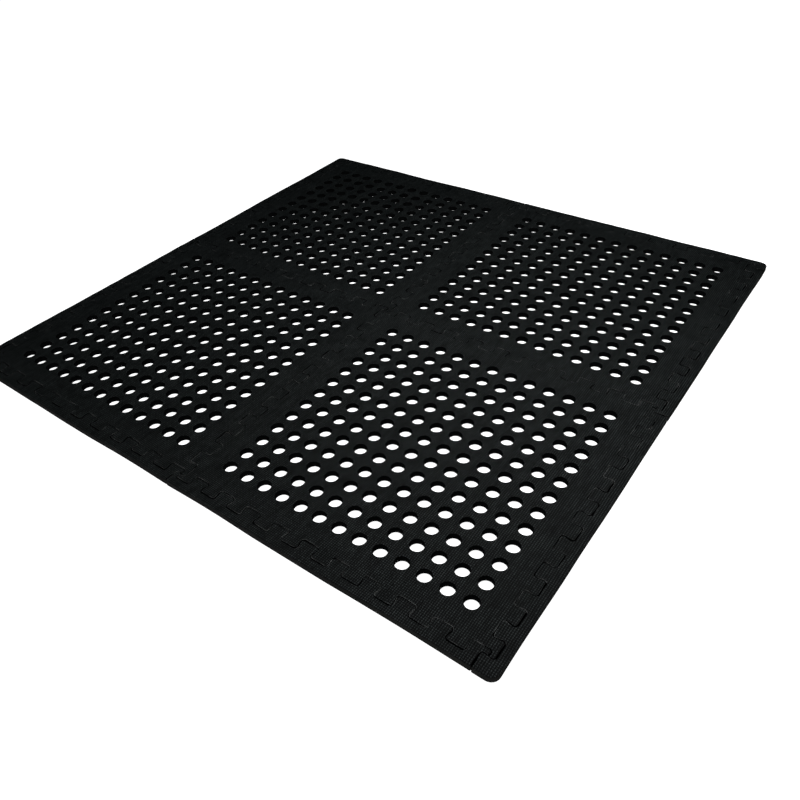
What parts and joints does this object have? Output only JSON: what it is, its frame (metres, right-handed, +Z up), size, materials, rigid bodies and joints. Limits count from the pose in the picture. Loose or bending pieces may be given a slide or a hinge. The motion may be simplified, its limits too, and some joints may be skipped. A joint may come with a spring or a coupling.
{
  "type": "interlocking foam mat",
  "caption": "Flat square mat of perforated foam tiles that interlock through dovetail teeth, framed by straight edging strips; a padded, draining surface to lay work on.",
  "frame": {"origin": "on the floor plane under the middle of the mat, where the four tiles meet", "axes": "+Z up through the thickness, +X to the right and -Y to the front, along the tile edges"},
  "size_m": [1.254, 1.254, 0.012],
  "materials": {
    "tile_foam": "matte closed-cell foam with a fine linen embossing",
    "edging_foam": "matte closed-cell foam with a fine linen embossing"
  },
  "bodies": {
    "tile_front_left": {"tile_front_left": "tile_foam"},
    "tile_front_right": {"tile_front_right": "tile_foam"},
    "tile_back_left": {"tile_back_left": "tile_foam"},
    "tile_back_right": {"tile_back_right": "tile_foam"},
    "edging_front_left": {"edging_front_left": "edging_foam"},
    "edging_front_right": {"edging_front_right": "edging_foam"},
    "edging_right_front": {"edging_right_front": "edging_foam"},
    "edging_right_back": {"edging_right_back": "edging_foam"},
    "edging_back_right": {"edging_back_right": "edging_foam"},
    "edging_back_left": {"edging_back_left": "edging_foam"},
    "edging_left_back": {"edging_left_back": "edging_foam"},
    "edging_left_front": {"edging_left_front": "edging_foam"}
  },
  "joints": [
    {"name": "tile_front_left_lift", "type": "slide", "parent": "tile_front_right", "child": "tile_front_left", "axis": [0, 0, 1], "range_m": [0, 0.04]},
    {"name": "tile_back_left_lift", "type": "slide", "parent": "tile_front_right", "child": "tile_back_left", "axis": [0, 0, 1], "range_m": [0, 0.04]},
    {"name": "tile_back_right_lift", "type": "slide", "parent": "tile_front_right", "child": "tile_back_right", "axis": [0, 0, 1], "range_m": [0, 0.04]},
    {"name": "edging_front_left_lift", "type": "slide", "parent": "tile_front_left", "child": "edging_front_left", "axis": [0, 0, 1], "range_m": [0, 0.04]},
    {"name": "edging_front_right_lift", "type": "slide", "parent": "tile_front_right", "child": "edging_front_right", "axis": [0, 0, 1], "range_m": [0, 0.04]},
    {"name": "edging_right_front_lift", "type": "slide", "parent": "tile_front_right", "child": "edging_right_front", "axis": [0, 0, 1], "range_m": [0, 0.04]},
    {"name": "edging_right_back_lift", "type": "slide", "parent": "tile_back_right", "child": "edging_right_back", "axis": [0, 0, 1], "range_m": [0, 0.04]},
    {"name": "edging_back_right_lift", "type": "slide", "parent": "tile_back_right", "child": "edging_back_right", "axis": [0, 0, 1], "range_m": [0, 0.04]},
    {"name": "edging_back_left_lift", "type": "slide", "parent": "tile_back_left", "child": "edging_back_left", "axis": [0, 0, 1], "range_m": [0, 0.04]},
    {"name": "edging_left_back_lift", "type": "slide", "parent": "tile_back_left", "child": "edging_left_back", "axis": [0, 0, 1], "range_m": [0, 0.04]},
    {"name": "edging_left_front_lift", "type": "slide", "parent": "tile_front_left", "child": "edging_left_front", "axis": [0, 0, 1], "range_m": [0, 0.04]}
  ]
}
